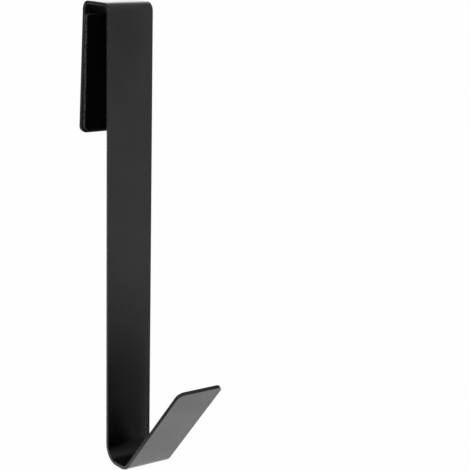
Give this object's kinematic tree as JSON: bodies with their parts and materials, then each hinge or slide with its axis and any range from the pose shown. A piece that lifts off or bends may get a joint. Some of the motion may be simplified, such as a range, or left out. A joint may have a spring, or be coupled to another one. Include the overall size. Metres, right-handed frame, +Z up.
{
  "type": "over door hook",
  "caption": "Flat steel strip bent into a saddle that sits over a door's top edge, with a padded tab behind and a long front strip that ends in a rising lip for hanging things.",
  "frame": {"origin": "middle of the saddle's underside, which sits on the door's top edge", "axes": "+X across the strip, -Y to the front where the lip is, +Z up"},
  "size_m": [0.03, 0.1083, 0.274],
  "materials": {
    "powder_coated_steel": "satin black powder coat on steel",
    "pad_foam": "matt black closed-cell foam"
  },
  "bodies": {
    "root": {"hook_strip": "powder_coated_steel", "tab_pad": "pad_foam"}
  },
  "joints": []
}
